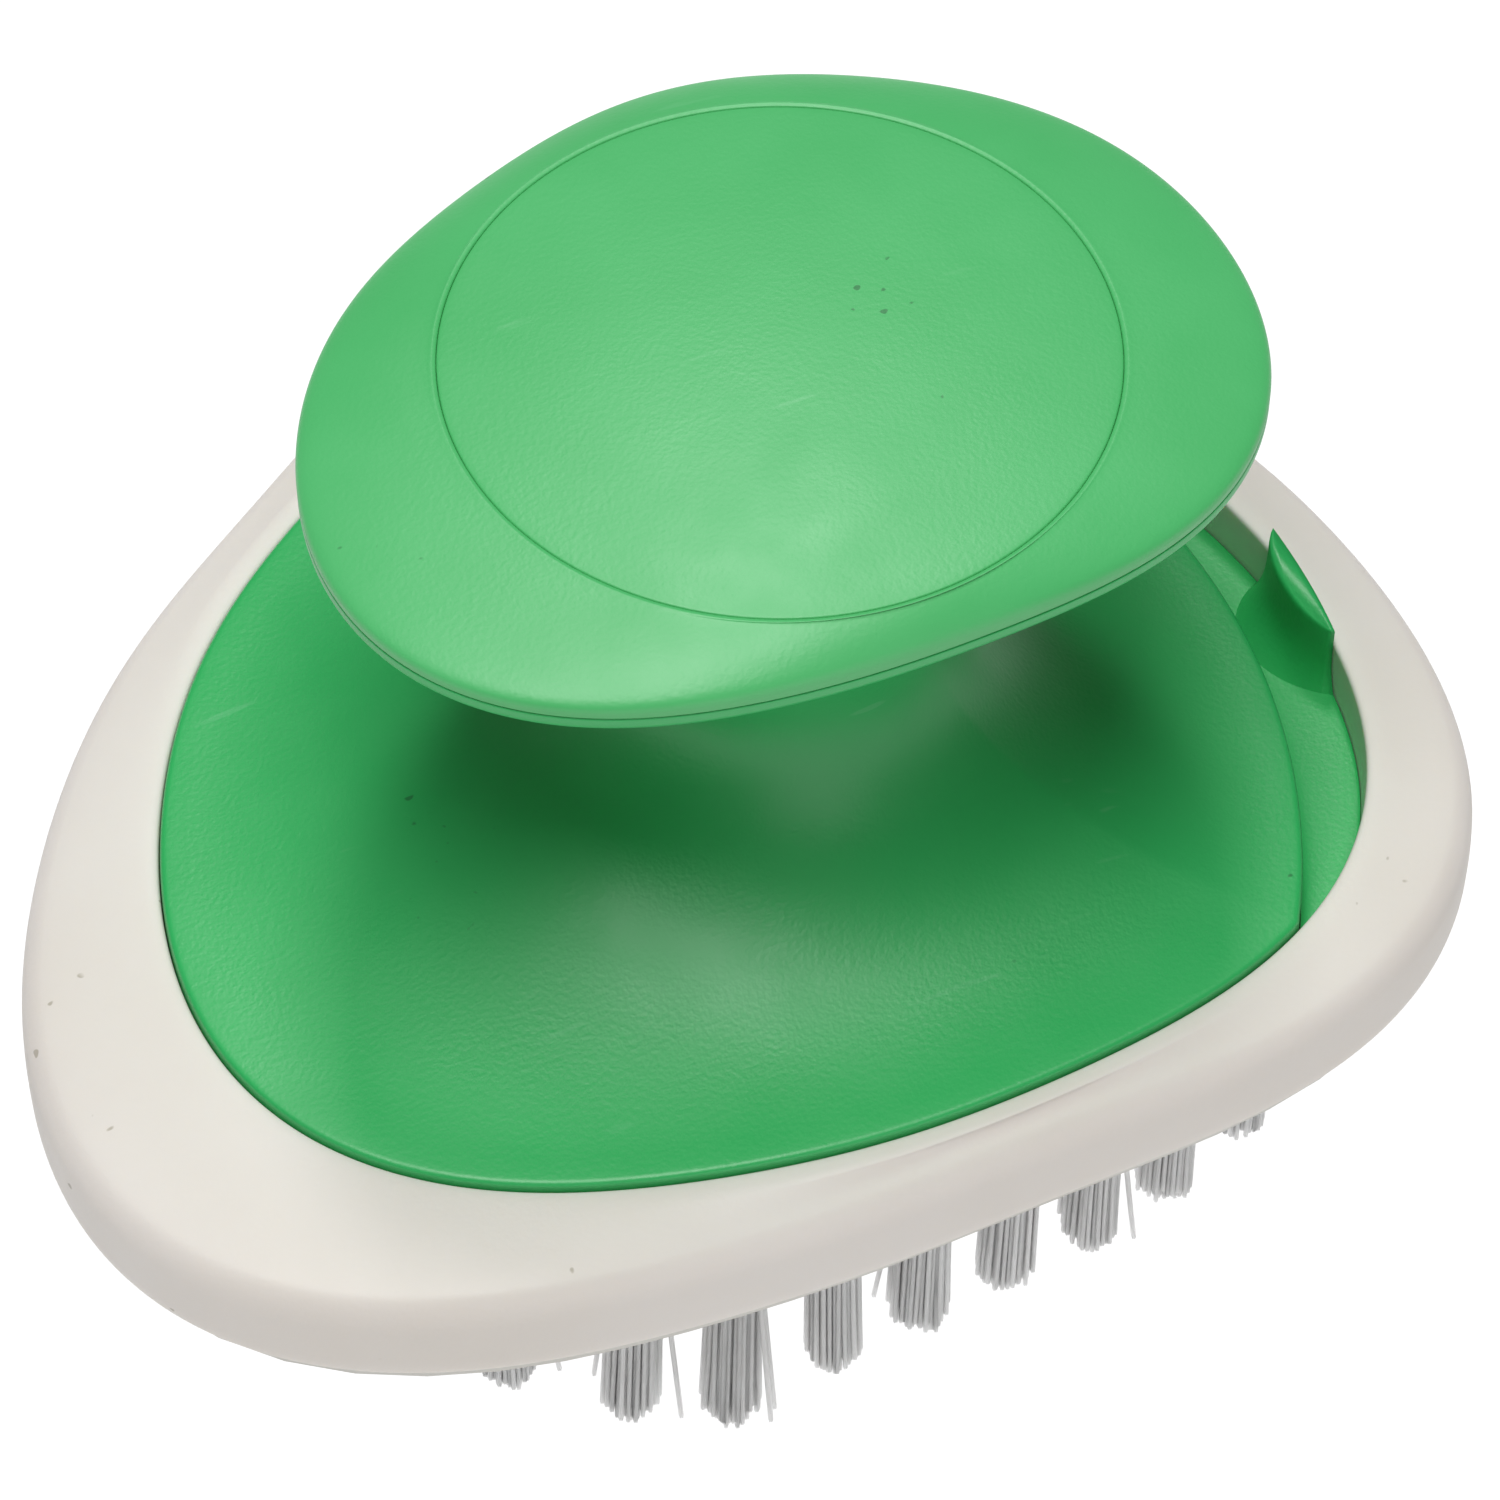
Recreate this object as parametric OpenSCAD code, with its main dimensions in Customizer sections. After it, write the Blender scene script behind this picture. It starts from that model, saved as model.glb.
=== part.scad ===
// Palm vegetable brush: a mushroom handle, a bumper ring round its base, a fin that
// digs out potato eyes, and a plate of nylon tufts. The tips stand on z = 0, and the
// ring's outline is centred on the z axis with its long axis near X.

/* [Outlines] */
// Direction of the long axis that the outlines inside the ring share, degrees from +X
long_dir = 4; // [0:1:20]
// Direction of the back corner that the outlines share, degrees from +X
corner_dir = 86; // [80:1:100]
// How much the sides between the corners are flattened, as a part of the corners' rise
side_flat = 0.16; // [0:0.01:0.2]
// Points round each outline
outline_points = 72; // [36:12:96]

/* [Bumper ring] */
// Direction of the ring's own long axis, degrees from +X
ring_dir = 10; // [0:1:20]
// Mean radius of the ring's outside
ring_r = 39; // [38:0.1:46]
// How much longer than round the ring is, as a part of its radius
ring_oval = 0.095; // [0:0.001:0.11]
// How three-cornered the ring is, as a part of its radius
ring_tri = 0.088; // [0:0.001:0.1]
// Where the ring's outline is centred along X
ring_x = 1.2; // [0:0.1:2]
// Where the ring's outline is centred along Y
ring_y = -3.4; // [-4:0.1:0]
// Height of the ring's side
ring_h = 7.2; // [6:0.1:10]
// Thickness of the ring's cushion above its skirt
cushion_t = 5.4; // [4:0.1:5.8]
// Thickness of the skirt under the cushion
skirt_t = 2; // [1.5:0.1:2.4]
// Fall of the ring's top from its inner edge to its shoulder
ring_fall = 0.7; // [0.2:0.1:1.2]
// Rounding of the ring's shoulder
shoulder_r = 1.6; // [0.6:0.1:2]
// Rounding of the ring's lower edge
foot_r = 0.8; // [0.3:0.1:1]
// Rounding of the ring's inner edge, beside the base
inner_edge_r = 0.4; // [0.2:0.1:0.5]

/* [Base] */
// Mean width of the ring's top, from the base's edge to the outside
ring_w = 5.9; // [5.8:0.1:8]
// How much longer than round the base is, as a part of its radius
base_oval = 0.062; // [0:0.001:0.08]
// How three-cornered the base is, as a part of its radius
base_tri = 0.06; // [0:0.001:0.08]
// Centre of the base's outline along X, from the ring's centre
base_dx = 1.3; // [0.6:0.1:1.6]
// Centre of the base's outline along Y, from the ring's centre
base_dy = 0.2; // [0:0.1:0.8]
// How far the base's rounded edge stands above the ring
base_proud = 0.4; // [0.2:0.1:1]
// Rounding of the base's upper edge
base_edge_r = 0.7; // [0.4:0.1:1]
// Clearance of each piece that drops into another
fit_gap = 0.15; // [0.1:0.01:0.2]
// Wall of the hollow handle
wall_t = 2.2; // [1.6:0.1:2.6]

/* [Neck and knob] */
// Radius of the neck at its narrowest
neck_r = 9.5; // [8:0.1:11]
// Height of the narrowest neck above the ring's top
neck_h = 14.3; // [12:0.1:16]
// Mean radius of the knob
knob_r = 23.9; // [22.5:0.1:26]
// How much longer than round the knob is, as a part of its radius
knob_oval = 0.12; // [0:0.001:0.13]
// How three-cornered the knob is, as a part of its radius
knob_tri = 0.04; // [0:0.001:0.05]
// Centre of the knob along X, from the ring's centre
knob_dx = 2.9; // [1.5:0.1:3.5]
// Centre of the knob along Y, from the ring's centre
knob_dy = -0.9; // [-1.6:0.1:0]
// Height of the knob's parting line above the ring's top
knob_h = 30.5; // [28:0.1:36]
// Thickness of the lip under the parting line
lip_t = 1.2; // [1:0.1:1.6]
// How far the lip's underside stands in from its rim
lip_round = 1; // [0.6:0.1:1.4]
// Bevel along the parting line
rim_edge = 0.25; // [0.1:0.05:0.3]

/* [Cap and inlay] */
// Height of the crease round the inlay above the parting line
crease_rise = 2.6; // [2.4:0.1:3.4]
// Radius of the crease
crease_r = 18.3; // [16:0.1:19]
// Centre of the crease along X, from the knob's centre
crease_dx = 0.2; // [0:0.1:0.6]
// Centre of the crease along Y, from the knob's centre
crease_dy = 0; // [-0.8:0.1:0.4]
// Depth of the seat that holds the inlay
seat_t = 1.2; // [1:0.1:1.4]
// Rise of the inlay's crown above the crease
crown_h = 1.4; // [0.8:0.1:2]

/* [Eye remover] */
// Depth of the pocket below the ring's top
pocket_depth = 3.7; // [3:0.1:4]
// Radius of the curve that cuts the base back at the pocket
pocket_r = 42.3; // [40:0.1:45]
// Depth of that cut at its middle, in from the base's edge
pocket_w = 3.7; // [3:0.1:4]
// Direction of the middle of that cut, degrees from +X
pocket_dir = 12; // [8:1:16]
// Width at which the pocket's floor ends
floor_end_w = 1; // [0.8:0.1:1.5]
// Length of the fin along its top
fin_len = 7.4; // [6:0.1:9]
// Length of the fin where it meets the pocket's floor
fin_root_len = 9.8; // [9:0.1:12]
// Thickness of the fin at its top
fin_t = 1.5; // [1.2:0.1:2.2]
// Thickness of the fin where it meets the pocket's floor
fin_root_t = 3.2; // [2.6:0.1:3.6]
// Height of the fin's point above the ring's top
fin_rise = 2.2; // [1:0.1:4]
// How much lower the fin's other end is than its point
fin_fall = 1; // [0.4:0.1:1.6]
// Direction of the fin's middle, degrees from +X
fin_dir = -5; // [-10:1:4]

/* [Bristle plate] */
// Length of the bristles below the plate
bristle_len = 13.5; // [10:0.1:18]
// Thickness of the plate's lip under the ring
lip_plate_t = 1; // [0.8:0.1:1.4]
// How far the plate's lip stands in from the ring's outside
lip_inset = 0.8; // [0.4:0.1:1.2]
// Width of a tuft's hole across its flats
hole_d = 3.4; // [3:0.1:3.6]
// Depth of a tuft's hole
hole_depth = 2; // [1.8:0.1:2.2]

/* [Tufts] */
// Tufts in the straighter run along each of the three sides
side_tufts = 7; // [6:1:8]
// Tufts in the run round each of the three corners
corner_tufts = 4; // [3:1:5]
// Gap between one run and the next, as a part of the tufts' spacing in the runs
run_gap = 1.45; // [1.1:0.05:1.8]
// How far the runs are turned from the sides and corners of the ring, in degrees
run_turn = 4; // [0:0.5:10]
// Mean distance of the outer row's centres in from the ring's outside
row_inset = 7.4; // [7.2:0.1:9]
// How much longer than round the outer row is, as a part of its radius
row_oval = 0.103; // [0:0.001:0.12]
// How three-cornered the outer row is, as a part of its radius
row_tri = 0.024; // [0:0.001:0.05]
// Mean radius of the innermost row
last_row_r = 4.3; // [4:0.1:6]
// Wanted spacing of the tufts along the inner rows
inner_pitch = 7.4; // [6.5:0.1:8.5]
// How far each inner row is turned from the one outside it, in degrees
stagger = 20; // [0:5:30]
// Strands in each tuft of the outer row
outer_strands = 6; // [4:1:6]
// Strands in each tuft of the inner rows
inner_strands = 4; // [3:1:4]
// Width of a strand
strand_w = 0.62; // [0.4:0.02:0.66]
// How much a tuft widens from its hole to its tips, as a part of its width
splay = 0.3; // [0.1:0.05:0.4]
// How far a tuft's tips may lean to any side
lean_w = 0.4; // [0:0.1:0.5]
// Unevenness of the strands' ends
uneven = 1.6; // [0:0.1:3]
// Length that is trimmed off the longest strands where they stand on the floor
trim = 0.5; // [0.2:0.1:0.8]
// Thickness of the slice that the strands are fused to
slice_t = 1; // [0.8:0.1:1.1]
// Thickness of a staple's wire
staple_t = 0.35; // [0.25:0.05:0.5]

/* [Hidden] */
ring_bottom = bristle_len + lip_plate_t;
ring_top = ring_bottom + ring_h;
plate_top = ring_top - cushion_t;
base_top = ring_top + base_proud;
neck_z = ring_top + neck_h;
parting_z = ring_top + knob_h;
crease_z = parting_z + crease_rise;
seat_z = crease_z - seat_t;
floor_z = ring_top - pocket_depth;
lip_w = wall_t + lip_round;

// Each outline is [mean radius, centre x, centre y, oval, tri, direction of its long axis]
ring_o = [ring_r, ring_x, ring_y, ring_oval, ring_tri, ring_dir];
base_o = [ring_r - ring_w, ring_x + base_dx, ring_y + base_dy, base_oval, base_tri, long_dir];
knob_o = [knob_r, ring_x + knob_dx, ring_y + knob_dy, knob_oval, knob_tri, long_dir];
neck_o = [neck_r, knob_o[1], knob_o[2], 0, 0, 0];
crease_o = [crease_r, knob_o[1] + crease_dx, knob_o[2] + crease_dy, 0, 0, 0];

knob_green = [0.40, 0.75, 0.48];
base_green = [0.30, 0.68, 0.42];
white = [0.88, 0.87, 0.83];
nylon = [0.80, 0.79, 0.78];
steel = [0.72, 0.72, 0.70];

outer_n = 3 * (side_tufts + corner_tufts);
row_names = ["tufts_row_2", "tufts_row_3", "tufts_row_4", "tufts_row_5"];

// Radius of outline o in direction a
function outline_r(o, a) =
    o[0] * (1 + o[3] * cos(2 * (a - o[5])) + o[4] * three_cornered(a - corner_dir));
function three_cornered(a) = cos(3 * a) + side_flat * cos(6 * a);

// Point of outline o in direction a, moved in by inset, at height z
function outline_at(o, a, inset, z) = [
    o[1] + (outline_r(o, a) - inset) * cos(a),
    o[2] + (outline_r(o, a) - inset) * sin(a),
    z
];

function angles(n) = [for (i = [0 : n - 1]) i * 360 / n];
function ring_of(o, inset, z) = [for (a = angles(outline_points)) outline_at(o, a, inset, z)];
function mix(p, q, t) = p + (q - p) * t;
function mix_rings(p, q, t, z) =
    [for (i = [0 : len(p) - 1]) [mix(p[i][0], q[i][0], t), mix(p[i][1], q[i][1], t), z]];

// A closed surface through rings of equally many points: its two ends are capped, or
// joined to each other where looped is true
module skin(rings, looped = false) {
    n = len(rings[0]);
    m = len(rings);
    last = looped ? m - 1 : m - 2;
    sides = [
        for (i = [0 : last], j = [0 : n - 1], k = [0, 1])
            let (a = i * n + j, b = i * n + (j + 1) % n)
            let (c = ((i + 1) % m) * n + j, d = ((i + 1) % m) * n + (j + 1) % n)
            k == 0 ? [a, d, b] : [a, c, d]
    ];
    caps = looped ? [] : [
        [for (j = [0 : n - 1]) j],
        [for (j = [0 : n - 1]) m * n - 1 - j]
    ];
    polyhedron([for (r = rings) for (p = r) p], concat(sides, caps));
}

// The curve that cuts the base back at the pocket is an arc. Its centre lies on the
// pocket's middle line, and this is its distance from the base's centre in direction a.
pocket_c = outline_r(base_o, pocket_dir) - pocket_w - pocket_r;
function pocket_edge(a) =
    pocket_c * cos(a - pocket_dir)
    + sqrt(pow(pocket_r, 2) - pow(pocket_c * sin(a - pocket_dir), 2));
function in_pocket(a) = cos(a - pocket_dir) > 0.3;

// Distance from the base's centre to the handle's own edge, which the pocket cuts back
function flange_r(a) =
    in_pocket(a) ? min(outline_r(base_o, a) - fit_gap, pocket_edge(a)) : outline_r(base_o, a) - fit_gap;
function flange_ring(inset, z) = [
    for (a = angles(outline_points))
        [base_o[1] + (flange_r(a) - inset) * cos(a), base_o[2] + (flange_r(a) - inset) * sin(a), z]
];

module handle_body() {
    edge = flange_ring(base_edge_r, base_top);
    neck_out = ring_of(neck_o, 0, neck_z);
    lip_out = ring_of(knob_o, lip_round, 0);
    edge_in = flange_ring(wall_t, 0);
    neck_in = ring_of(neck_o, wall_t, neck_z);
    lip_in = ring_of(knob_o, lip_w, 0);
    underside_z = base_top - wall_t;
    color(base_green) skin(concat(
        [flange_ring(0, plate_top), flange_ring(0, base_top - base_edge_r)],
        [flange_ring(base_edge_r * 0.3, base_top - base_edge_r * 0.3), edge],
        [for (f = [15 : 15 : 90])
            mix_rings(neck_out, edge, 1 - sin(f), base_top + (neck_z - base_top) * (1 - cos(f)))],
        [for (f = [15 : 15 : 90])
            mix_rings(neck_out, lip_out, 1 - cos(f), neck_z + (parting_z - lip_t - neck_z) * sin(f))],
        [ring_of(knob_o, lip_round * 0.3, parting_z - lip_t * 0.8)],
        [ring_of(knob_o, 0, parting_z - lip_t * 0.4)],
        [ring_of(knob_o, rim_edge, parting_z), ring_of(knob_o, lip_w, parting_z)],
        [for (f = [60 : -30 : 0])
            mix_rings(neck_in, lip_in, 1 - cos(f), neck_z + (parting_z - neck_z) * sin(f))],
        [for (f = [60 : -30 : 0])
            mix_rings(neck_in, edge_in, 1 - sin(f), underside_z + (neck_z - underside_z) * (1 - cos(f)))],
        [flange_ring(wall_t, plate_top)]
    ), looped = true);
}

module knob_cap() {
    roof_z = seat_z - wall_t * 0.7;
    rim = ring_of(knob_o, 0, parting_z + rim_edge);
    crease = ring_of(crease_o, 0, crease_z);
    // The rounded shoulder, as parts of the way in and up from the rim to the crease
    shoulder = [[0, 0.22], [0.04, 0.34], [0.12, 0.46], [0.3, 0.62], [0.55, 0.8], [0.8, 0.93]];
    color(knob_green) skin(concat(
        [ring_of(crease_o, crease_r * 0.95, roof_z), ring_of(crease_o, 1.5 * wall_t, roof_z)],
        [ring_of(knob_o, lip_w, parting_z), ring_of(knob_o, rim_edge, parting_z), rim],
        [for (s = shoulder) mix_rings(rim, crease, s[0], mix(parting_z, crease_z, s[1]))],
        [crease, ring_of(crease_o, 0, seat_z), ring_of(crease_o, crease_r * 0.95, seat_z)]
    ));
}

module grip_inlay() {
    r = crease_r * cos(180 / outline_points) - fit_gap;
    crown_r = (pow(r, 2) + pow(crown_h, 2)) / (2 * crown_h);
    top_edge = seat_t - fit_gap;
    crown = [for (i = [5 : -1 : 0])
        let (x = r * i / 5)
        [x, top_edge + crown_h - (crown_r - sqrt(pow(crown_r, 2) - pow(x, 2)))]];
    color(knob_green) translate([crease_o[1], crease_o[2], seat_z])
        rotate_extrude($fn = 72) polygon(concat([[0, 0], [r, 0]], crown));
}

module bumper_ring() {
    shoulder_z = ring_top - ring_fall;
    color(white) skin([
        ring_of(ring_o, foot_r, ring_bottom),
        ring_of(ring_o, foot_r * 0.3, ring_bottom + foot_r * 0.3),
        ring_of(ring_o, 0, ring_bottom + foot_r),
        ring_of(ring_o, 0, shoulder_z - shoulder_r),
        ring_of(ring_o, shoulder_r * 0.3, shoulder_z - shoulder_r * 0.3),
        ring_of(ring_o, shoulder_r, shoulder_z),
        ring_of(base_o, -inner_edge_r, ring_top),
        ring_of(base_o, -inner_edge_r * 0.3, ring_top - inner_edge_r * 0.3),
        ring_of(base_o, 0, ring_top - inner_edge_r),
        ring_of(base_o, 0, plate_top),
        ring_of(ring_o, skirt_t, plate_top),
        ring_of(ring_o, skirt_t, ring_bottom)
    ], looped = true);
}

// The eye remover is one moulding: a floor that fills the pocket and a fin that stands
// on it against the ring's inner wall. The fin is lens-shaped in plan, flares to its root
// and is cut off aslant, so that its back end is a point.
module eye_remover() {
    step = 360 / outline_points;
    dirs = [
        for (i = [-ceil(90 / step) : floor(90 / step)])
            let (a = i * step)
            if (in_pocket(a) && outline_r(base_o, a) - pocket_edge(a) > floor_end_w) a
    ];
    floor_outline = concat(
        [for (a = dirs) base_point(a, pocket_edge(a) + fit_gap)],
        [for (i = [len(dirs) - 1 : -1 : 0]) base_point(dirs[i], outline_r(base_o, dirs[i]) - fit_gap)]
    );
    color(base_green) union() {
        translate([0, 0, plate_top]) linear_extrude(floor_z - plate_top) polygon(floor_outline);
        skin([for (t = [0 : 0.2 : 1]) fin_ring(t)]);
    }
}

function base_point(a, r) = [base_o[1] + r * cos(a), base_o[2] + r * sin(a)];

// Outline of the fin at the part t of its height: along its back on the ring's side,
// then along its front on the pocket's side
function fin_ring(t) =
    let (flare = pow(1 - t, 2), n = 8)
    let (w = mix(fin_t, fin_root_t, flare), half = mix(fin_len, fin_root_len, flare) / 2)
    let (root_z = mix(floor_z, plate_top, 0.4))
    [
        for (j = [0 : 2 * n - 1])
            let (u = j <= n ? 2 * j / n - 1 : 3 - 2 * j / n)
            let (a = fin_dir + u * half / (ring_r - ring_w) * 180 / PI)
            let (back = outline_r(base_o, a) - 2 * fit_gap)
            let (r = j <= n ? back : back - w * (1 - pow(u, 2)))
            let (top = ring_top + fin_rise - fin_fall * (1 - u) / 2)
            concat(base_point(a, r), [mix(root_z, top, t)])
    ];

module bristle_plate() {
    block_z = ring_bottom - lip_plate_t / 2;
    color(white) difference() {
        union() {
            slab(ring_o, lip_inset, bristle_len, ring_bottom);
            slab(ring_o, skirt_t + fit_gap, block_z, plate_top);
        }
        for (p = all_tufts)
            translate([p[0], p[1], bristle_len - hole_depth]) rotate([0, 0, p[2]])
                octagon(hole_d, 2 * hole_depth);
    }
}

module slab(o, inset, z0, z1) {
    translate([0, 0, z0]) linear_extrude(z1 - z0)
        polygon([for (p = ring_of(o, inset, 0)) [p[0], p[1]]]);
}

// Eight-sided prism that is w across its flats
module octagon(w, h) {
    rotate([0, 0, 22.5]) cylinder(h = h, r = w / 2 / cos(22.5), $fn = 8);
}

// The rows share the base's centre, and those nearer the middle are rounder
function row_o(inset) =
    let (fade = 1 - pow((inset - row_inset) / (ring_r - row_inset), 3))
    [ring_r - inset, base_o[1], base_o[2], row_oval * fade, row_tri * fade, long_dir];
function on_row(inset, a) = outline_at(row_o(inset), a, 0, 0);

// Pairs of length along a row and direction, measured from +X
row_steps = 180;
function row_table(inset) = [
    for (
        i = 0, s = 0;
        i <= row_steps;
        s = s + norm(on_row(inset, (i + 1) * 360 / row_steps) - on_row(inset, i * 360 / row_steps)),
        i = i + 1
    ) [s, i * 360 / row_steps]
];
function swapped(table) = [for (p = table) [p[1], p[0]]];

// n tufts that are pitch apart along a row, with their middle in direction a. Each tuft
// is [x, y, direction].
function run(inset, table, a, n, pitch) =
    let (whole = table[row_steps][0], middle = lookup(a % 360, swapped(table)))
    [
        for (i = [0 : n - 1])
            let (s = middle + (i - (n - 1) / 2) * pitch + whole)
            let (dir = lookup(s % whole, table), p = on_row(inset, dir))
            [p[0], p[1], dir]
    ];

// The outer row has a straighter run along each side and a run round each corner
run_dir = corner_dir + run_turn;
outer_table = row_table(row_inset);
outer_pitch = outer_table[row_steps][0] / 3 / (side_tufts + corner_tufts - 2 + 2 * run_gap);
outer_row = [
    for (k = [0 : 2])
        each concat(
            run(row_inset, outer_table, run_dir + 60 + 120 * k, side_tufts, outer_pitch),
            run(row_inset, outer_table, run_dir + 120 + 120 * k, corner_tufts, outer_pitch)
        )
];

row_pitch = (ring_r - row_inset - last_row_r) / len(row_names);
function inner_row(k) =
    let (inset = row_inset + k * row_pitch, table = row_table(inset), whole = table[row_steps][0])
    let (n = round(whole / inner_pitch))
    run(inset, table, corner_dir + k * stagger, n, whole / n);
inner_rows = [for (k = [1 : len(row_names)]) inner_row(k)];
all_tufts = concat(outer_row, [for (row = inner_rows) each row]);

// One strand of a tuft: number k of n, spread over the hole by equal areas. Each tuft
// widens evenly from its slice to its tips and leans a little, so no strands cross.
slice_z = bristle_len + fit_gap;
module strand(k, n, lean, end_z) {
    reach = hole_d / 2 - strand_w / 2 - fit_gap;
    root = reach * sqrt((k + 0.5) / n) * [cos(137.5 * k), sin(137.5 * k)];
    root_z = slice_z + slice_t / 2;
    skin([for (z = [end_z, root_z])
        let (down = (root_z - z) / root_z, c = root * (1 + splay * down) + lean * down)
        [for (j = [0 : 2])
            [c[0] + strand_w / 2 * cos(120 * j), c[1] + strand_w / 2 * sin(120 * j), z]]
    ]);
}

module tuft(place, n, seed) {
    chance = rands(0, 1, n + 2, seed);
    lean = lean_w * [2 * chance[0] - 1, 2 * chance[1] - 1];
    color(nylon) translate([place[0], place[1], 0]) rotate([0, 0, place[2]]) {
        translate([0, 0, slice_z]) octagon(hole_d - fit_gap, slice_t);
        for (k = [0 : n - 1])
            strand(k, n, lean, k == 0 ? 0 : max(0, uneven * chance[k + 2] - trim));
    }
}

module tuft_row(row, seed) {
    for (i = [0 : len(row) - 1]) tuft(row[i], inner_strands, seed + i);
}

// The staples lie across the folded bristles at the bottom of each hole
module tuft_staples() {
    h = hole_depth - fit_gap - slice_t;
    l = hole_d - 2 * fit_gap;
    color(steel) for (p = all_tufts)
        translate([p[0], p[1], slice_z + slice_t]) rotate([0, 0, p[2]])
            translate([-l / 2, -staple_t / 2, 0]) cube([l, staple_t, h]);
}

knob_cap();
grip_inlay();
handle_body();
eye_remover();
bumper_ring();
bristle_plate();
tuft_staples();
for (i = [1 : outer_n])
    tuft(outer_row[i - 1], outer_strands, i);
for (k = [0 : len(row_names) - 1])
    tuft_row(inner_rows[k], 100 * (k + 1));
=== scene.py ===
import bpy
import numpy as np
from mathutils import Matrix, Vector


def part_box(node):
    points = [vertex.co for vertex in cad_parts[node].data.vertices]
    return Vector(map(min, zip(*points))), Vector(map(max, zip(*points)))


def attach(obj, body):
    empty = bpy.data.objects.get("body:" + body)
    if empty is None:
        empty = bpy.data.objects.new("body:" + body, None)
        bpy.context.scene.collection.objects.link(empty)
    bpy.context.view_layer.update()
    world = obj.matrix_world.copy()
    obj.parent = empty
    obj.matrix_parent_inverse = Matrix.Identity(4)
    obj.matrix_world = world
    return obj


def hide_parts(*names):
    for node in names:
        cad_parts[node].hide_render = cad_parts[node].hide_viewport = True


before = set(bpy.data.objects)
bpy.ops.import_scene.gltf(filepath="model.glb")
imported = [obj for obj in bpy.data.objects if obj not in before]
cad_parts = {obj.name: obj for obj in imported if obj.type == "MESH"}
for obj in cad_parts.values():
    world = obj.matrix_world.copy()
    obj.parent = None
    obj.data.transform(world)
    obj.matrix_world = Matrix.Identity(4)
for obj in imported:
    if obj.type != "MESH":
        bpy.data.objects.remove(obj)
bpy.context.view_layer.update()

scene = bpy.context.scene


# Camera
# The brush is seen from above and from its left front, at arm's length through a long
# lens. Its place and aim are in millimetres in the brush's own frame.
MM = 0.001
picture_px = 1500
focal_px = 5538
sensor_mm = 36
camera_place = Vector((-71.35, -187.3, 273.9)) * MM
camera_aim = Vector((2.45, -4.63, 21.7)) * MM

camera_data = bpy.data.cameras.new("camera")
camera_data.sensor_width = sensor_mm
camera_data.lens = sensor_mm * focal_px / picture_px
camera_data.clip_start = 10 * MM
camera_data.clip_end = 20
camera = bpy.data.objects.new("camera", camera_data)
camera.location = camera_place
camera.rotation_euler = (camera_aim - camera_place).to_track_quat("-Z", "Y").to_euler()
scene.collection.objects.link(camera)
scene.camera = camera


# Bumper ring
# A soft ring of white thermoplastic elastomer, moulded over the plate and gripping the
# base. It has a level top with a rounded shoulder and a straight side, and a satin skin.
turn = np.linspace(0, 2 * np.pi, 480, endpoint=False)
outward = np.stack([np.cos(turn), np.sin(turn)], axis=1)
ring_dir, long_dir, corner_dir, side_flat = np.radians(10), np.radians(4), np.radians(86), 0.16

ring_foot, ring_head = [c.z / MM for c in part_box("bumper_ring")]
plate_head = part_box("bristle_plate")[1].z / MM
ring_centre = np.array([1.2, -3.4])
ring_r, ring_oval, ring_tri = 39.0, 0.095, 0.088
skirt_t, ring_fall = 2.0, 0.7
base_centre = ring_centre + np.array([1.3, 0.2])
base_r, base_oval, base_tri = 33.1, 0.062, 0.06


def outline(centre, mean_r, oval, tri, at=turn, long_dir=long_dir):
    """(centre, radii): a rounded three-cornered oval. The radius in direction a is
    mean_r (1 + oval cos 2(a - long) + tri (cos 3(a - corner) + flat cos 6(a - corner)))."""
    corner = np.cos(3 * (at - corner_dir)) + side_flat * np.cos(6 * (at - corner_dir))
    return np.asarray(centre), mean_r * (1 + oval * np.cos(2 * (at - long_dir)) + tri * corner)


def rounded(rows, times=3, closed=False):
    """The quadratic B-spline of a polygon of control rows, by cutting its corners: each
    side is replaced by its points at 1/4 and 3/4. An open polygon keeps its two ends."""
    rows = np.asarray(rows, float)
    for _ in range(times):
        start = rows if closed else rows[:-1]
        end = np.roll(rows, -1, axis=0) if closed else rows[1:]
        cut = np.stack([0.75 * start + 0.25 * end, 0.25 * start + 0.75 * end], axis=1)
        cut = cut.reshape(-1, rows.shape[1])
        rows = cut if closed else np.concatenate([rows[:1], cut, rows[-1:]])
    return rows


def loft(outlines, profile):
    """Points [row, direction, xyz] of a surface through level rings. A profile row holds
    one weight for each outline, an inset and a height: its ring is the weighted mean of
    the outlines, moved in by the inset."""
    profile = np.asarray(profile, float)
    weights, inset, height = profile[:, :-2], profile[:, -2], profile[:, -1]
    centres = weights @ np.array([o[0] for o in outlines])
    radii = weights @ np.array([o[1] for o in outlines]) - inset[:, None]
    plan = centres[:, None] + radii[..., None] * outward
    return np.concatenate([plan, np.broadcast_to(height[:, None, None], radii.shape + (1,))], axis=2)


def grid_faces(rows, columns, looped=False, around=True):
    """Quads of a grid of points numbered row by row: (r, c), (r, c+1), (r+1, c+1), (r+1, c)."""
    r = np.arange(rows if looped else rows - 1)[:, None]
    c = np.arange(columns if around else columns - 1)[None]
    up, right = (r + 1) % rows, (c + 1) % columns
    quad = [r * columns + c, r * columns + right, up * columns + right, up * columns + c]
    return np.stack(np.broadcast_arrays(*quad), axis=-1).reshape(-1, 4)


def piece(name, points, faces, material, replaced, ends=()):
    """A mesh object from points in millimetres, quads and end polygons, that stands for
    the replaced nodes of the frame."""
    mesh = bpy.data.meshes.new(name)
    mesh.from_pydata(
        (np.asarray(points).reshape(-1, 3) * MM).tolist(), [], faces.tolist() + [list(e) for e in ends]
    )
    mesh.polygons.foreach_set("use_smooth", np.ones(len(mesh.polygons), bool))
    mesh.materials.append(material)
    obj = bpy.data.objects.new(name, mesh)
    scene.collection.objects.link(obj)
    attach(obj, "root")
    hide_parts(*replaced)
    return obj


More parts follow.
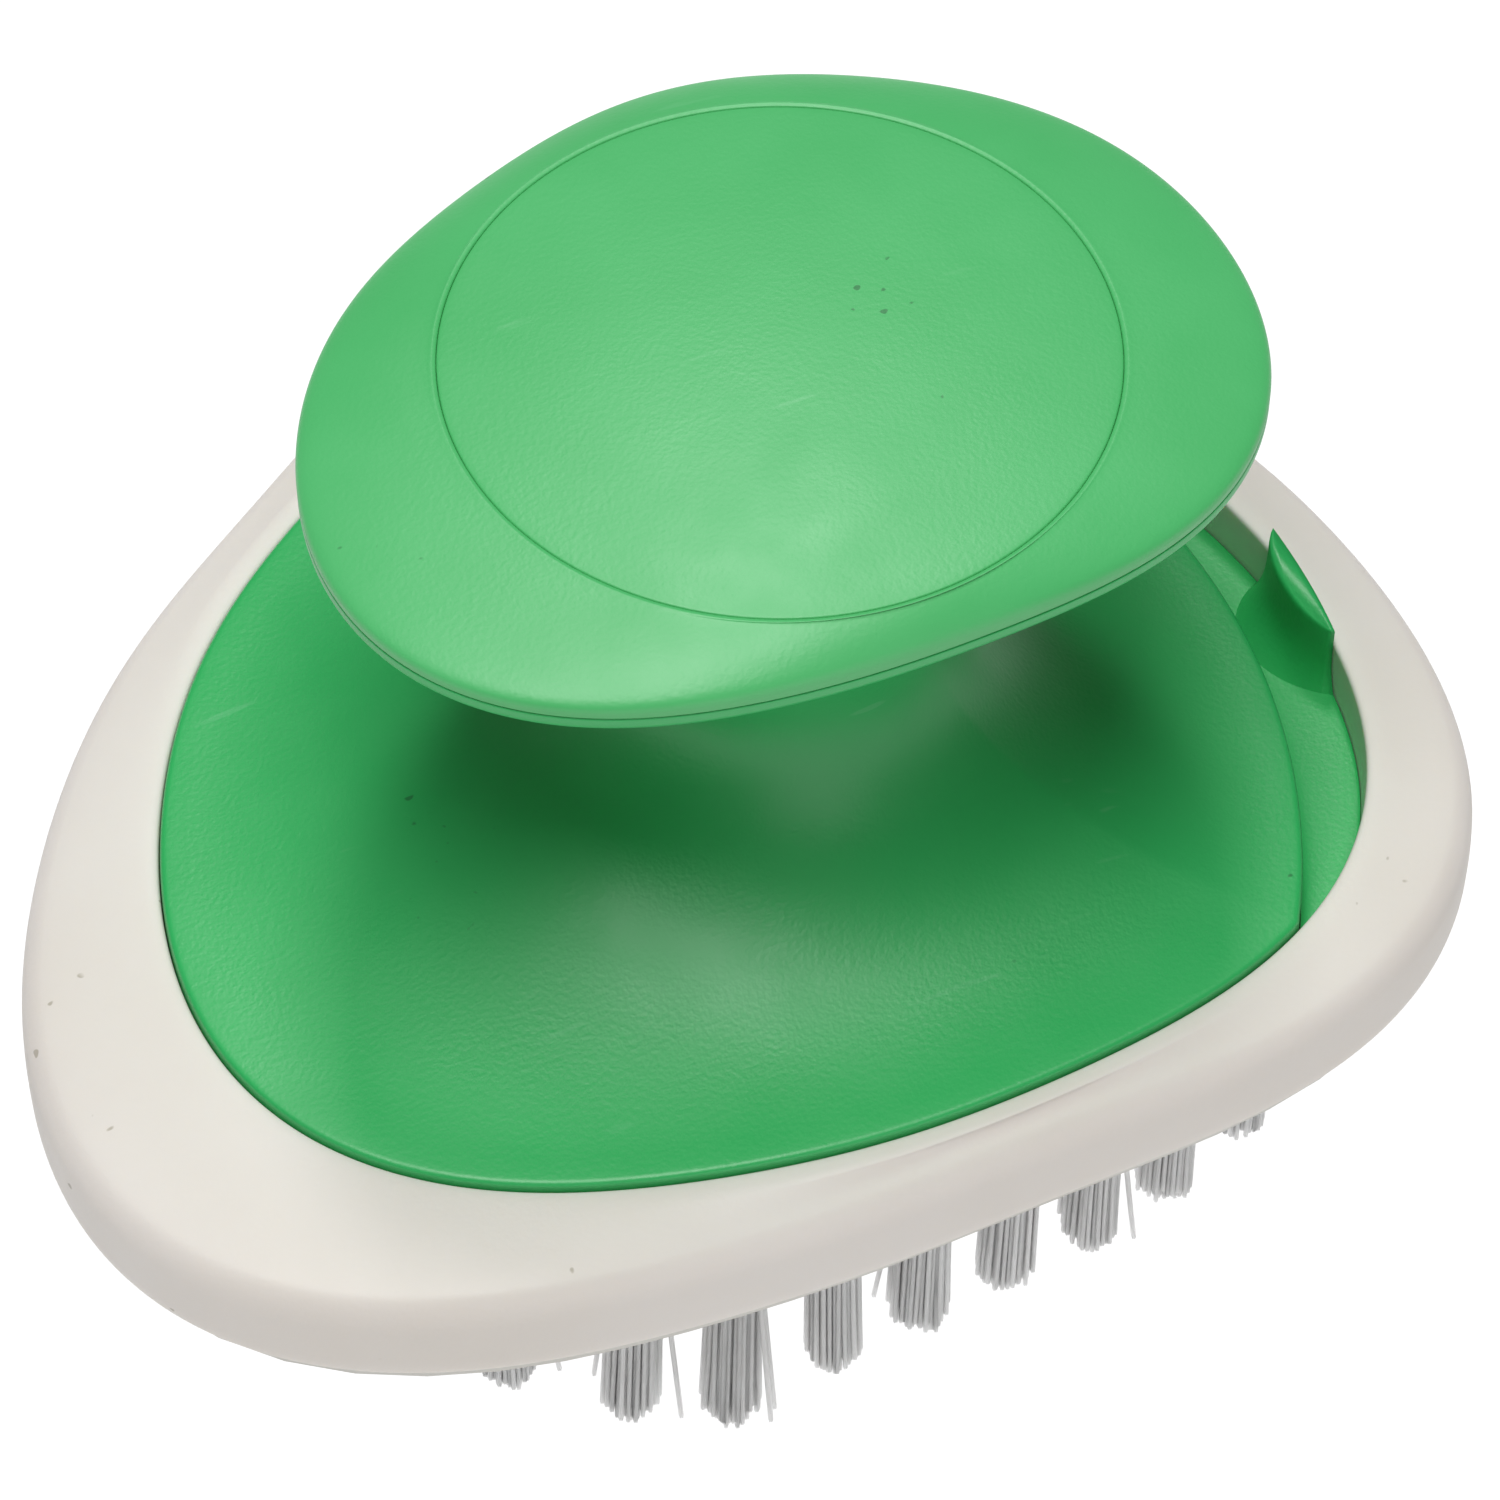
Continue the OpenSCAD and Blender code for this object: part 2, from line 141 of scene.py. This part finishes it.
def lofted_piece(name, outlines, profile, material, replaced, looped=True):
    """A closed loft: its profile is a loop, or its first and last rings are capped."""
    points = loft(outlines, profile)
    rows, columns = points.shape[:2]
    ends = () if looped else (range(columns)[::-1], range((rows - 1) * columns, rows * columns))
    return piece(name, points, grid_faces(rows, columns, looped), material, replaced, ends)


def colour(hex_code):
    """Linear RGBA of an sRGB hex colour."""
    srgb = np.array([int(hex_code[i : i + 2], 16) for i in (1, 3, 5)]) / 255
    linear = np.where(srgb <= 0.04045, srgb / 12.92, ((srgb + 0.055) / 1.055) ** 2.4)
    return (*linear.tolist(), 1.0)


def add(tree, kind, settings=None, **links):
    """Adds a node. settings are attributes, or values of sockets by name or number; links
    join sockets, written with _ for a space, to other nodes' outputs."""
    node = tree.nodes.new(kind)
    for key, value in (settings or {}).items():
        if isinstance(key, int) or key in node.inputs:
            node.inputs[key].default_value = value
        else:
            setattr(node, key, value)
    for key, output in links.items():
        socket = int(key[1:]) if key[0] == "i" and key[1:].isdigit() else key.replace("_", " ")
        tree.links.new(output, node.inputs[socket])
    return node


def new_material(name):
    """(material, tree, shader) with a bare Principled shader."""
    material = bpy.data.materials.new(name)
    material.use_nodes = True
    return material, material.node_tree, material.node_tree.nodes["Principled BSDF"]


def noise(tree, size_mm, detail=2.0, stretch=(1, 1, 1)):
    """Noise output on the object's own coordinates, whose blobs are size_mm across."""
    place = add(tree, "ShaderNodeTexCoord").outputs["Object"]
    place = add(tree, "ShaderNodeMapping", {"Scale": stretch}, Vector=place).outputs[0]
    texture = add(tree, "ShaderNodeTexNoise", {"Scale": 1 / (size_mm * MM), "Detail": detail}, Vector=place)
    return texture.outputs["Fac"]


def ramp(tree, fac, low, high, start=0.0, end=1.0):
    """Output that goes from start to end as fac goes from low to high."""
    settings = {"From Min": low, "From Max": high, "To Min": start, "To Max": end}
    return add(tree, "ShaderNodeMapRange", settings, Value=fac).outputs["Result"]


def tint(tree, fac, first, second):
    """Colour output mixed from first to second, each a colour or another output."""
    mix = add(tree, "ShaderNodeMix", {"data_type": "RGBA"}, Factor=fac)
    sockets = [s for s in mix.inputs if s.type == "RGBA"]
    for socket, value in zip(sockets, (first, second)):
        if isinstance(value, tuple):
            socket.default_value = value
        else:
            tree.links.new(value, socket)
    return next(o for o in mix.outputs if o.type == "RGBA")


def bump(tree, fac, depth_mm, strength=1.0, normal=None):
    """Normal output of a relief that is depth_mm deep where fac goes from 0 to 1."""
    node = add(tree, "ShaderNodeBump", {"Strength": strength, "Distance": depth_mm * MM}, Height=fac)
    if normal is not None:
        tree.links.new(normal, node.inputs["Normal"])
    return node.outputs["Normal"]


def both(tree, first, second):
    """Product of two outputs: 1 only where both are."""
    return add(tree, "ShaderNodeMath", {"operation": "MULTIPLY"}, i0=first, i1=second).outputs[0]


def ring_elastomer():
    """Moulded TPE: an off-white, slightly translucent rubber with a satin skin. The
    mould's spark-eroded grain is 0.2 mm; it is drawn at 0.35 mm so that it shows."""
    material, tree, shader = new_material("moulded_white_elastomer")
    soil = ramp(tree, noise(tree, 22, 3), 0.45, 0.75)
    pale = tint(tree, soil, colour("#E7E1DB"), colour("#E2DBD3"))
    speck_dots = ramp(tree, noise(tree, 0.8, 0), 0.80, 0.84)
    speck = both(tree, speck_dots, ramp(tree, noise(tree, 9, 0), 0.69, 0.7))
    tree.links.new(tint(tree, speck, pale, colour("#BDB5A8")), shader.inputs["Base Color"])
    tree.links.new(ramp(tree, noise(tree, 6, 2), 0.3, 0.7, 0.46, 0.54), shader.inputs["Roughness"])
    tree.links.new(bump(tree, noise(tree, 0.35, 1), 0.012), shader.inputs["Normal"])
    shader.inputs["Subsurface Weight"].default_value = 0.25
    shader.inputs["Subsurface Radius"].default_value = (1.0, 0.9, 0.75)
    shader.inputs["Subsurface Scale"].default_value = 1.2 * MM
    shader.inputs["IOR"].default_value = 1.48
    return material


ring_outline = outline(ring_centre, ring_r, ring_oval, ring_tri, long_dir=ring_dir)
base_outline = outline(base_centre, base_r, base_oval, base_tri)
shoulder = ring_head - ring_fall
# Weight of the outside, weight of the inside, inset, height
ring_profile = rounded([
    (1, 0, skirt_t, ring_foot), (1, 0, 1.1, ring_foot), (1, 0, 0.2, ring_foot + 0.05),
    (1, 0, 0, ring_foot + 1), (1, 0, 0, ring_foot + 2),
    (1, 0, 0, shoulder - 3.2), (1, 0, 0.12, shoulder - 1.5), (1, 0, 0.9, shoulder - 0.35),
    (1, 0, 1.9, shoulder + 0.02), (0.5, 0.5, 0.55, shoulder + 0.45),
    (0, 1, -1.2, ring_head), (0, 1, -0.35, ring_head), (0, 1, 0, ring_head - 0.15),
    (0, 1, 0, ring_head - 0.7), (0, 1, 0, ring_head - 3),
    (0, 1, 0, plate_head), (1, 0, skirt_t, plate_head),
], closed=True)
lofted_piece(
    "bumper_ring_skin", [ring_outline, base_outline], ring_profile, ring_elastomer(),
    ["bumper_ring"]
)


# Handle body
# One hollow moulding of green polypropylene: a shallow flange that fills the ring, a
# waisted neck and the flare under the knob. A curved cut at its right makes the pocket.
wall_t, hairline = 2.2, 0.07
base_proud, base_edge_r = 0.4, 0.7
pocket_r, pocket_w, pocket_dir = 42.3, 3.7, np.radians(12)
neck_r, neck_rise, lip_t, lip_w = 9.5, 14.3, 1.2, 3.2
knob_centre = ring_centre + np.array([2.9, -0.9])
knob_r, knob_oval, knob_tri = 23.9, 0.12, 0.04
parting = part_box("handle_body")[1].z / MM
base_head = ring_head + base_proud
neck_head = ring_head + neck_rise


def pocket_edge(at):
    """Distance from the base's centre to the arc that cuts the pocket, whose own centre
    lies c out along the pocket's middle line: c cos d + sqrt(r^2 - c^2 sin^2 d), d being
    the angle from that line."""
    middle_r = outline(base_centre, base_r, base_oval, base_tri, pocket_dir)[1]
    c = middle_r - pocket_w - pocket_r
    away = at - pocket_dir
    return c * np.cos(away) + np.sqrt(pocket_r**2 - (c * np.sin(away)) ** 2)


def moulded_polypropylene(name, skin, lit, sheen_rough, scuff_hex):
    """Injection-moulded polypropylene: a satin spark-eroded skin, faint cloudy flow
    marks, hairline scuffs from use and a few dark specks of regrind. The grain is
    0.15 mm on the real one and is drawn at 0.3 mm."""
    material, tree, shader = new_material(name)
    cloud = ramp(tree, noise(tree, 14, 3), 0.35, 0.7)
    base = tint(tree, cloud, colour(skin), colour(lit))
    scuff_lines = ramp(tree, noise(tree, 0.9, 1, (0.12, 1.0, 1.0)), 0.68, 0.74)
    scuff_areas = ramp(tree, noise(tree, 11, 1), 0.56, 0.66)
    scuffs = both(tree, scuff_lines, scuff_areas)
    scuffed = tint(tree, ramp(tree, scuffs, 0, 1, 0, 0.22), base, colour(scuff_hex))
    speck_dots = ramp(tree, noise(tree, 0.7, 0), 0.80, 0.84, 0, 0.6)
    speck = both(tree, speck_dots, ramp(tree, noise(tree, 10, 0), 0.71, 0.72))
    tree.links.new(tint(tree, speck, scuffed, colour("#14502B")), shader.inputs["Base Color"])
    rough = ramp(tree, noise(tree, 5, 2), 0.3, 0.7, sheen_rough - 0.03, sheen_rough + 0.05)
    tree.links.new(rough, shader.inputs["Roughness"])
    relief = bump(tree, noise(tree, 0.3, 1), 0.016)
    relief = bump(tree, noise(tree, 9, 1), 0.05, 0.6, relief)
    tree.links.new(relief, shader.inputs["Normal"])
    shader.inputs["IOR"].default_value = 1.49
    shader.inputs["Specular IOR Level"].default_value = 0.65
    return material


full_flange = base_outline[1] - hairline
near_pocket = np.cos(turn - pocket_dir) > 0.3
cut_flange = np.where(near_pocket, np.minimum(full_flange, pocket_edge(turn)), full_flange)
flange_outline = (base_centre, cut_flange)
neck_outline = (knob_centre, np.full(turn.shape, neck_r))
knob_outline = outline(knob_centre, knob_r, knob_oval, knob_tri)


def sweep(rows, f):
    """Control rows, one for each item of f, stacked from columns that are arrays or
    constants."""
    columns = [np.asarray(r, float) * np.ones_like(f) for r in rows]
    return np.stack(columns, axis=1)


# The flange sweeps up into the neck, and the neck out into the knob's underside, as
# quarter ellipses with the angle rise. The cavity follows them one wall further in.
rise = np.radians(np.arange(6, 91, 6))
lower_sweep = sweep(
    [1 - np.sin(rise), np.sin(rise), 0, base_edge_r * (1 - np.sin(rise)),
     base_head + (neck_head - base_head) * (1 - np.cos(rise))], rise
)
upper_sweep = sweep(
    [0, np.cos(rise), 1 - np.cos(rise), 1 - np.cos(rise),
     neck_head + (parting - lip_t - neck_head) * np.sin(rise)], rise
)
inner_upper = upper_sweep[-4::-1] + np.array([0, 0, 0, wall_t, 0.3])
inner_lower = lower_sweep[::-1] + np.array([0, 0, 0, wall_t, -wall_t])
# Weight of the flange, of the neck and of the knob, inset, height
handle_profile = rounded(np.concatenate([
    [(1, 0, 0, 0, plate_head), (1, 0, 0, 0, plate_head), (1, 0, 0, 0, base_head - 1.6)],
    [(1, 0, 0, 0, base_head - 0.6), (1, 0, 0, 0.1, base_head - 0.06), (1, 0, 0, 0.75, base_head)],
    lower_sweep, upper_sweep,
    [(0, 0, 1, 0.3, parting - lip_t * 0.85), (0, 0, 1, 0, parting - lip_t * 0.55)],
    [(0, 0, 1, 0, parting - 0.2), (0, 0, 1, 0.02, parting - 0.05), (0, 0, 1, 0.16, parting)],
    [(0, 0, 1, lip_w, parting), (0, 0, 1, lip_w, parting), (0, 0, 1, lip_w + 0.2, parting - 0.4)],
    inner_upper, inner_lower[2:-2],
    [(1, 0, 0, wall_t + base_edge_r, base_head - wall_t)],
    [(1, 0, 0, wall_t, plate_head), (1, 0, 0, wall_t, plate_head)],
]))
# The body's green has less red than the cap's: painted shade, standing in for the deep, saturated green
# where the knob shades it.
base_plastic = moulded_polypropylene(
    "green_polypropylene_deepened_for_painted_shade", "#2EB15E", "#33B562", 0.38, "#7CC795"
)
lofted_piece(
    "handle_skin", [flange_outline, neck_outline, knob_outline], handle_profile, base_plastic,
    ["handle_body"]
)


# Knob cap
# The lid of the hollow handle, moulded in the same polypropylene with a drier skin. Its paler
# green is painted light, a lit copy of the body's green. It closes the handle at the parting
# line and rises in a rounded shoulder.
crease_centre = knob_centre + np.array([0.2, 0.0])
crease_r, seat_t, roof_t = 18.3, 1.2, 1.54
core_r = 0.9
crease_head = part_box("knob_cap")[1].z / MM
seat = crease_head - seat_t
crease_outline = (crease_centre, np.full(turn.shape, crease_r))
shoulder_in = np.array([0, 0, 0.02, 0.09, 0.24, 0.45, 0.7, 0.92])
shoulder_up = np.array([0.06, 0.14, 0.26, 0.38, 0.53, 0.70, 0.86, 0.97])
rim_head = parting + 0.2
shoulder_rows = sweep(
    [1 - shoulder_in, shoulder_in, 0, rim_head + (crease_head - rim_head) * shoulder_up], shoulder_in
)
# Weight of the knob's rim, of the crease, inset, height
cap_profile = rounded(np.concatenate([
    [(0, 1, crease_r - core_r, seat - roof_t), (0, 1, 3.3, seat - roof_t)],
    [(1, 0, lip_w, parting), (1, 0, lip_w, parting)],
    [(1, 0, 0.16, parting), (1, 0, 0.02, parting + 0.05), (1, 0, 0, rim_head)],
    shoulder_rows,
    [(0, 1, -0.3, crease_head), (0, 1, -0.2, crease_head), (0, 1, 0, crease_head - 0.07)],
    [(0, 1, 0, crease_head - 0.3), (0, 1, 0, seat), (0, 1, 0, seat)],
    [(0, 1, crease_r - core_r, seat)],
]))
# The cap's paler green is painted light: a lit copy of the body's green.
cap_plastic = moulded_polypropylene(
    "green_polypropylene_painted_lit_copy", "#4CB76A", "#52BC70", 0.42, "#93D5A5"
)
lofted_piece(
    "cap_skin", [knob_outline, crease_outline], cap_profile, cap_plastic,
    ["knob_cap"], looped=False
)


# Grip inlay
# A moulded disc with a low crown, pressed into the cap's seat. All that shows of the
# joint is a hairline crease round it.
crown_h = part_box("grip_inlay")[1].z / MM - crease_head + 0.02
inlay_gap, inlay_edge_r = 0.01, 0.14
inlay_edge = crease_head - 0.02
crown_in = np.linspace(1, 0.04, 14)
crown_rows = sweep(
    [1, crease_r - (crease_r - inlay_gap - inlay_edge_r) * crown_in,
     inlay_edge + crown_h * (1 - crown_in**2)], crown_in
)
# Weight of the crease, inset, height
inlay_profile = rounded(np.concatenate([
    [(1, crease_r - core_r, seat), (1, inlay_gap, seat), (1, inlay_gap, seat)],
    [(1, inlay_gap, crease_head - 0.3), (1, inlay_gap, inlay_edge - 0.08)],
    crown_rows,
]))
lofted_piece(
    "inlay_skin", [crease_outline], inlay_profile, cap_plastic,
    ["grip_inlay"], looped=False
)


# Eye remover
# A small green moulding dropped into the pocket between the base and the ring: a floor
# with a pointed fin that stands against the ring's wall, flared where it meets the floor.
pocket_depth, fit_gap = 3.7, 0.15
floor_head = ring_head - pocket_depth
floor_span = np.radians(np.linspace(-44, 56, 160))
fin_dir, fin_len, fin_root_len = np.radians(-5), 7.4, 9.8
fin_t, fin_root_t, fin_rise, fin_fall = 1.45, 4.2, 2.2, 1.0
fin_sunk, fin_inset = 0.5, 0.08


def base_points(at, radius, height):
    """Points at polar places round the base's centre."""
    plan = [base_centre[0] + radius * np.cos(at), base_centre[1] + radius * np.sin(at)]
    return np.stack(np.broadcast_arrays(*plan, height), axis=-1)


inner_edge = pocket_edge(floor_span) + fit_gap
outer_edge = outline(base_centre, base_r, base_oval, base_tri, floor_span)[1] - 0.03
# Part of the way from the inner to the outer edge, height
floor_rows = rounded([
    (0, plate_head), (0, plate_head), (0, floor_head - 0.1), (0, floor_head + 0.25),
    (0.12, floor_head), (0.5, floor_head - 0.05), (0.88, floor_head),
    (1, floor_head), (1, floor_head - 0.3), (1, plate_head), (1, plate_head),
], closed=True)
across = inner_edge[:, None] + (outer_edge - inner_edge)[:, None] * floor_rows[:, 0]
floor_points = base_points(floor_span[:, None], across, floor_rows[:, 1])
slices, floor_count = floor_points.shape[:2]
first_slice = range(floor_count)
last_slice = range((slices - 1) * floor_count, slices * floor_count)[::-1]
piece(
    "pocket_floor", floor_points, grid_faces(slices, floor_count)[:, ::-1], base_plastic,
    ["eye_remover"], [first_slice, last_slice]
)

# The fin goes round its back (side 0) and its bulging front (side 1), level by level
level = np.linspace(0, 1, 28)
flare = (1 - level) ** 4
along = np.linspace(-1, 1, 33)
path = np.concatenate([along, along[-2:0:-1]])
side = np.concatenate([np.zeros(len(along)), np.ones(len(along) - 2)])
edge_round = np.where(level > 0.9, np.sqrt(np.clip(1 - ((level - 0.9) / 0.1) ** 2, 0.02, 1)), 1)
half = (fin_len + (fin_root_len - fin_len) * flare) / 2
thick = (fin_t + (fin_root_t - fin_t) * flare) * (0.86 + 0.14 * edge_round)
fin_at = fin_dir + path * half[:, None] / base_r
fin_back = outline(base_centre, base_r, base_oval, base_tri, fin_at)[1] - fin_inset
fin_r = fin_back - side * thick[:, None] * (1 - np.abs(path) ** 2.2) ** 0.75
fin_head = ring_head + fin_rise - fin_fall * (1 - path) / 2
fin_height = floor_head - fin_sunk + (fin_head - floor_head + fin_sunk) * level[:, None]
fin_points = base_points(fin_at, fin_r, fin_height)
fin_rows, fin_columns = fin_points.shape[:2]
fin_ends = (range(fin_columns)[::-1], range((fin_rows - 1) * fin_columns, fin_rows * fin_columns))
piece(
    "eye_fin", fin_points, grid_faces(fin_rows, fin_columns), base_plastic,
    ["eye_remover"], fin_ends
)


# Bristle plate
# A flat white moulding under the ring that holds the tufts in blind holes. Its lip shows
# as a thin line below the ring.
def plate_plastic():
    """Injection-moulded polypropylene, natural white, with a 0.3 mm satin grain."""
    material, tree, shader = new_material("moulded_white_polypropylene")
    cloud = ramp(tree, noise(tree, 12, 2), 0.4, 0.7)
    tree.links.new(tint(tree, cloud, colour("#DDDBD4"), colour("#D5D2CA")), shader.inputs["Base Color"])
    tree.links.new(ramp(tree, noise(tree, 4, 2), 0.3, 0.7, 0.38, 0.46), shader.inputs["Roughness"])
    tree.links.new(bump(tree, noise(tree, 0.3, 1), 0.010), shader.inputs["Normal"])
    shader.inputs["IOR"].default_value = 1.49
    return material


def dress(node, material):
    """Gives a node of the frame its material."""
    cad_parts[node].data.materials.clear()
    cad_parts[node].data.materials.append(material)


dress("bristle_plate", plate_plastic())


# Staples
# A short length of flat steel wire across each hole holds the folded tuft down. None of
# them shows once the brush is together.
def drawn_wire():
    """Drawn, flattened steel wire: bright metal with fine lines along its length."""
    material, tree, shader = new_material("drawn_steel_wire")
    lines = noise(tree, 0.15, 1, (0.1, 1, 1))
    tree.links.new(tint(tree, lines, colour("#B5B3AF"), colour("#CAC8C4")), shader.inputs["Base Color"])
    tree.links.new(ramp(tree, lines, 0.3, 0.7, 0.28, 0.4), shader.inputs["Roughness"])
    shader.inputs["Metallic"].default_value = 1.0
    return material


dress("tuft_staples", drawn_wire())


# Tufts
# Bundles of crimp-free nylon filament, folded and stapled into the holes. The cut ends
# are uneven and spread a little. A real filament is 0.2 mm thick; there are fewer here,
# so they are drawn at 0.32 mm.
row_names = ["tufts_row_2", "tufts_row_3", "tufts_row_4", "tufts_row_5"]
row_sizes = [33, 21, 15, 10, 4]
filaments = [112, 90, 60, 60, 60]
filament_r, tuft_root_r = 0.16, 1.5
filament_levels, filament_sides = 5, 5
hole_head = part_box("tuft_1")[1].z / MM
pushed_dir, push_mm, push_width = np.radians(246), 3.2, np.radians(12)
golden_turn, root_depth = 2.39996, 0.2

staple_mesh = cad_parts["tuft_staples"].data
staple_points = np.empty(len(staple_mesh.vertices) * 3)
staple_mesh.vertices.foreach_get("co", staple_points)
# A staple lies across the middle of each hole, and the holes come row by row
holes = staple_points.reshape(sum(row_sizes), -1, 3).mean(axis=1)[:, :2] / MM


def nylon_filament():
    """Drawn polyamide 6.12: milky and slightly glossy. The tone changes a little from one
    filament to the next."""
    material, tree, shader = new_material("drawn_nylon_filament")
    tone = ramp(tree, noise(tree, 0.5, 1, (1, 1, 0.05)), 0.3, 0.7)
    tree.links.new(tint(tree, tone, colour("#F4F2F1"), colour("#FFFFFF")), shader.inputs["Base Color"])
    shader.inputs["Roughness"].default_value = 0.32
    shader.inputs["IOR"].default_value = 1.53
    shader.inputs["Transmission Weight"].default_value = 0.08
    shader.inputs["Subsurface Weight"].default_value = 0.7
    shader.inputs["Subsurface Radius"].default_value = (1.0, 0.97, 0.98)
    shader.inputs["Subsurface Scale"].default_value = 1.6 * MM
    return material


def filament_points(centres, count, seed):
    """Points [filament, level, corner, xyz]. A filament starts at r = R sqrt((k + 0.5)/n) in
    its hole, on a sunflower's spiral, and runs down to its tip. It is drawn out from the
    tuft's middle by spread * t + curl * t^3, t being the part of its length, and the whole
    tuft leans by lean * t. Tufts near the pushed direction lean out by use, as
    push_mm exp(-(angle / push_width)^2). A few strays stand well out of their tuft."""
    rng = np.random.default_rng(seed)
    tufts = len(centres)
    k = np.arange(count)
    spiral = np.stack([np.cos(golden_turn * k), np.sin(golden_turn * k)], axis=1)
    spiral = spiral * np.sqrt((k + 0.5) / count)[:, None] + rng.normal(0, 0.02, (tufts, count, 2))
    root = tuft_root_r * spiral
    stray = np.where(rng.random((tufts, count, 1)) > 0.975, 1.6, 0.0)
    spread = spiral * (rng.normal(0.16, 0.04, (tufts, count, 1)) + stray)
    curl = rng.normal(0, 0.05, (tufts, count, 2)) + 0.05 * spiral
    out = centres - base_centre
    out_dir = np.arctan2(out[:, 1], out[:, 0])
    angle = np.angle(np.exp(1j * (out_dir - pushed_dir)))
    push = push_mm * np.exp(-((angle / push_width) ** 2))
    lean = push[:, None] * out / np.linalg.norm(out, axis=1, keepdims=True)
    lean = (lean + rng.uniform(-0.25, 0.25, (tufts, 2)))[:, None]
    edge = (spiral**2).sum(axis=2)
    clump = 0.25 * np.sin(5 * spiral[..., 0] + rng.uniform(0, 6, (tufts, 1)))
    end = 0.35 * edge + clump + np.clip(rng.gamma(2.0, 0.16, (tufts, count)), 0.0, 1.2)
    end = end - end.min(axis=1, keepdims=True)
    t = np.linspace(0, 1, filament_levels)[:, None]
    shift = (spread + lean)[:, :, None] * t + curl[:, :, None] * t**3
    plan = centres[:, None, None] + root[:, :, None] + shift
    root_head = hole_head - root_depth
    height = root_head + (end - root_head)[..., None] * t[:, 0]
    around = np.arange(filament_sides) * 2 * np.pi / filament_sides
    plan = plan[..., None, :] + filament_r * np.stack([np.cos(around), np.sin(around)], axis=1)
    height = np.broadcast_to(height[..., None, None], plan.shape[:-1] + (1,))
    return np.concatenate([plan, height], axis=-1).reshape(-1, filament_levels, filament_sides, 3)


def filament_piece(name, centres, count, material, replaced, seed):
    """One mesh of all the filaments of a row of tufts, each a closed rod."""
    points = filament_points(centres, count, seed)
    each = filament_levels * filament_sides
    first = np.arange(len(points))[:, None, None] * each
    quads = (first + grid_faces(filament_levels, filament_sides)[:, ::-1]).reshape(-1, 4)
    top = np.arange(filament_sides)
    ends = (first + np.stack([top, each - 1 - top])).reshape(-1, filament_sides)
    return piece(name, points, quads, material, replaced, ends.tolist())


nylon = nylon_filament()
row_start = np.cumsum([0] + row_sizes)
row_nodes = [[f"tuft_{i}" for i in range(1, row_sizes[0] + 1)]] + [[name] for name in row_names]
for row, nodes in enumerate(row_nodes):
    centres = holes[row_start[row] : row_start[row + 1]]
    filament_piece(f"filaments_row_{row + 1}", centres, filaments[row], nylon, nodes, seed=11 + row)


# Stage
# A white floor under a large soft lamp overhead, a small one behind for the sheens, a low
# fill in front and a faint even surround.
def floor_paper():
    """Matt white paper that glows. The glow takes most of it for the camera, which sees
    plain white with a very faint shadow, and a little less for the light on the tufts."""
    material, tree, shader = new_material("white_paper_sweep")
    shader.inputs["Base Color"].default_value = colour("#E6E6E4")
    shader.inputs["Roughness"].default_value = 0.9
    tree.links.new(bump(tree, noise(tree, 0.8, 2), 0.01), shader.inputs["Normal"])
    glow = add(tree, "ShaderNodeEmission", {"Color": (1, 1, 1, 1), "Strength": 1.1})
    rays = add(tree, "ShaderNodeLightPath").outputs["Is Camera Ray"]
    share = ramp(tree, rays, 0, 1, 0.85, 0.96)
    mix = add(tree, "ShaderNodeMixShader", None, Fac=share, i1=shader.outputs[0], i2=glow.outputs[0])
    tree.links.new(mix.outputs[0], tree.nodes["Material Output"].inputs["Surface"])
    return material


floor_half = 3.0
floor_mesh = bpy.data.meshes.new("floor")
corners = [(x * floor_half, y * floor_half, 0) for x, y in [(-1, -1), (1, -1), (1, 1), (-1, 1)]]
floor_mesh.from_pydata(corners, [], [(0, 1, 2, 3)])
floor_mesh.materials.append(floor_paper())
floor = bpy.data.objects.new("floor", floor_mesh)
scene.collection.objects.link(floor)

world = bpy.data.worlds.new("studio")
world.use_nodes = True
world.node_tree.nodes["Background"].inputs["Color"].default_value = colour("#FFFFFF")
world.node_tree.nodes["Background"].inputs["Strength"].default_value = 0.06
scene.world = world


def soft_lamp(name, place_mm, aim_mm, size_mm, watts):
    """A square area lamp that faces aim_mm."""
    data = bpy.data.lights.new(name, "AREA")
    data.size = size_mm * MM
    data.energy = watts
    lamp = bpy.data.objects.new(name, data)
    lamp.location = Vector(place_mm) * MM
    lamp.rotation_euler = (Vector(aim_mm) * MM - lamp.location).to_track_quat("-Z", "Y").to_euler()
    scene.collection.objects.link(lamp)


soft_lamp("overhead_softbox", (-70, -75, 640), (0, 0, 30), 380, 3.2)
soft_lamp("back_softbox", (100, 245, 590), (0, 0, 30), 110, 0.9)
soft_lamp("front_fill", (20, -620, 70), (0, 0, 5), 420, 0.6)

scene.view_settings.view_transform = "Standard"
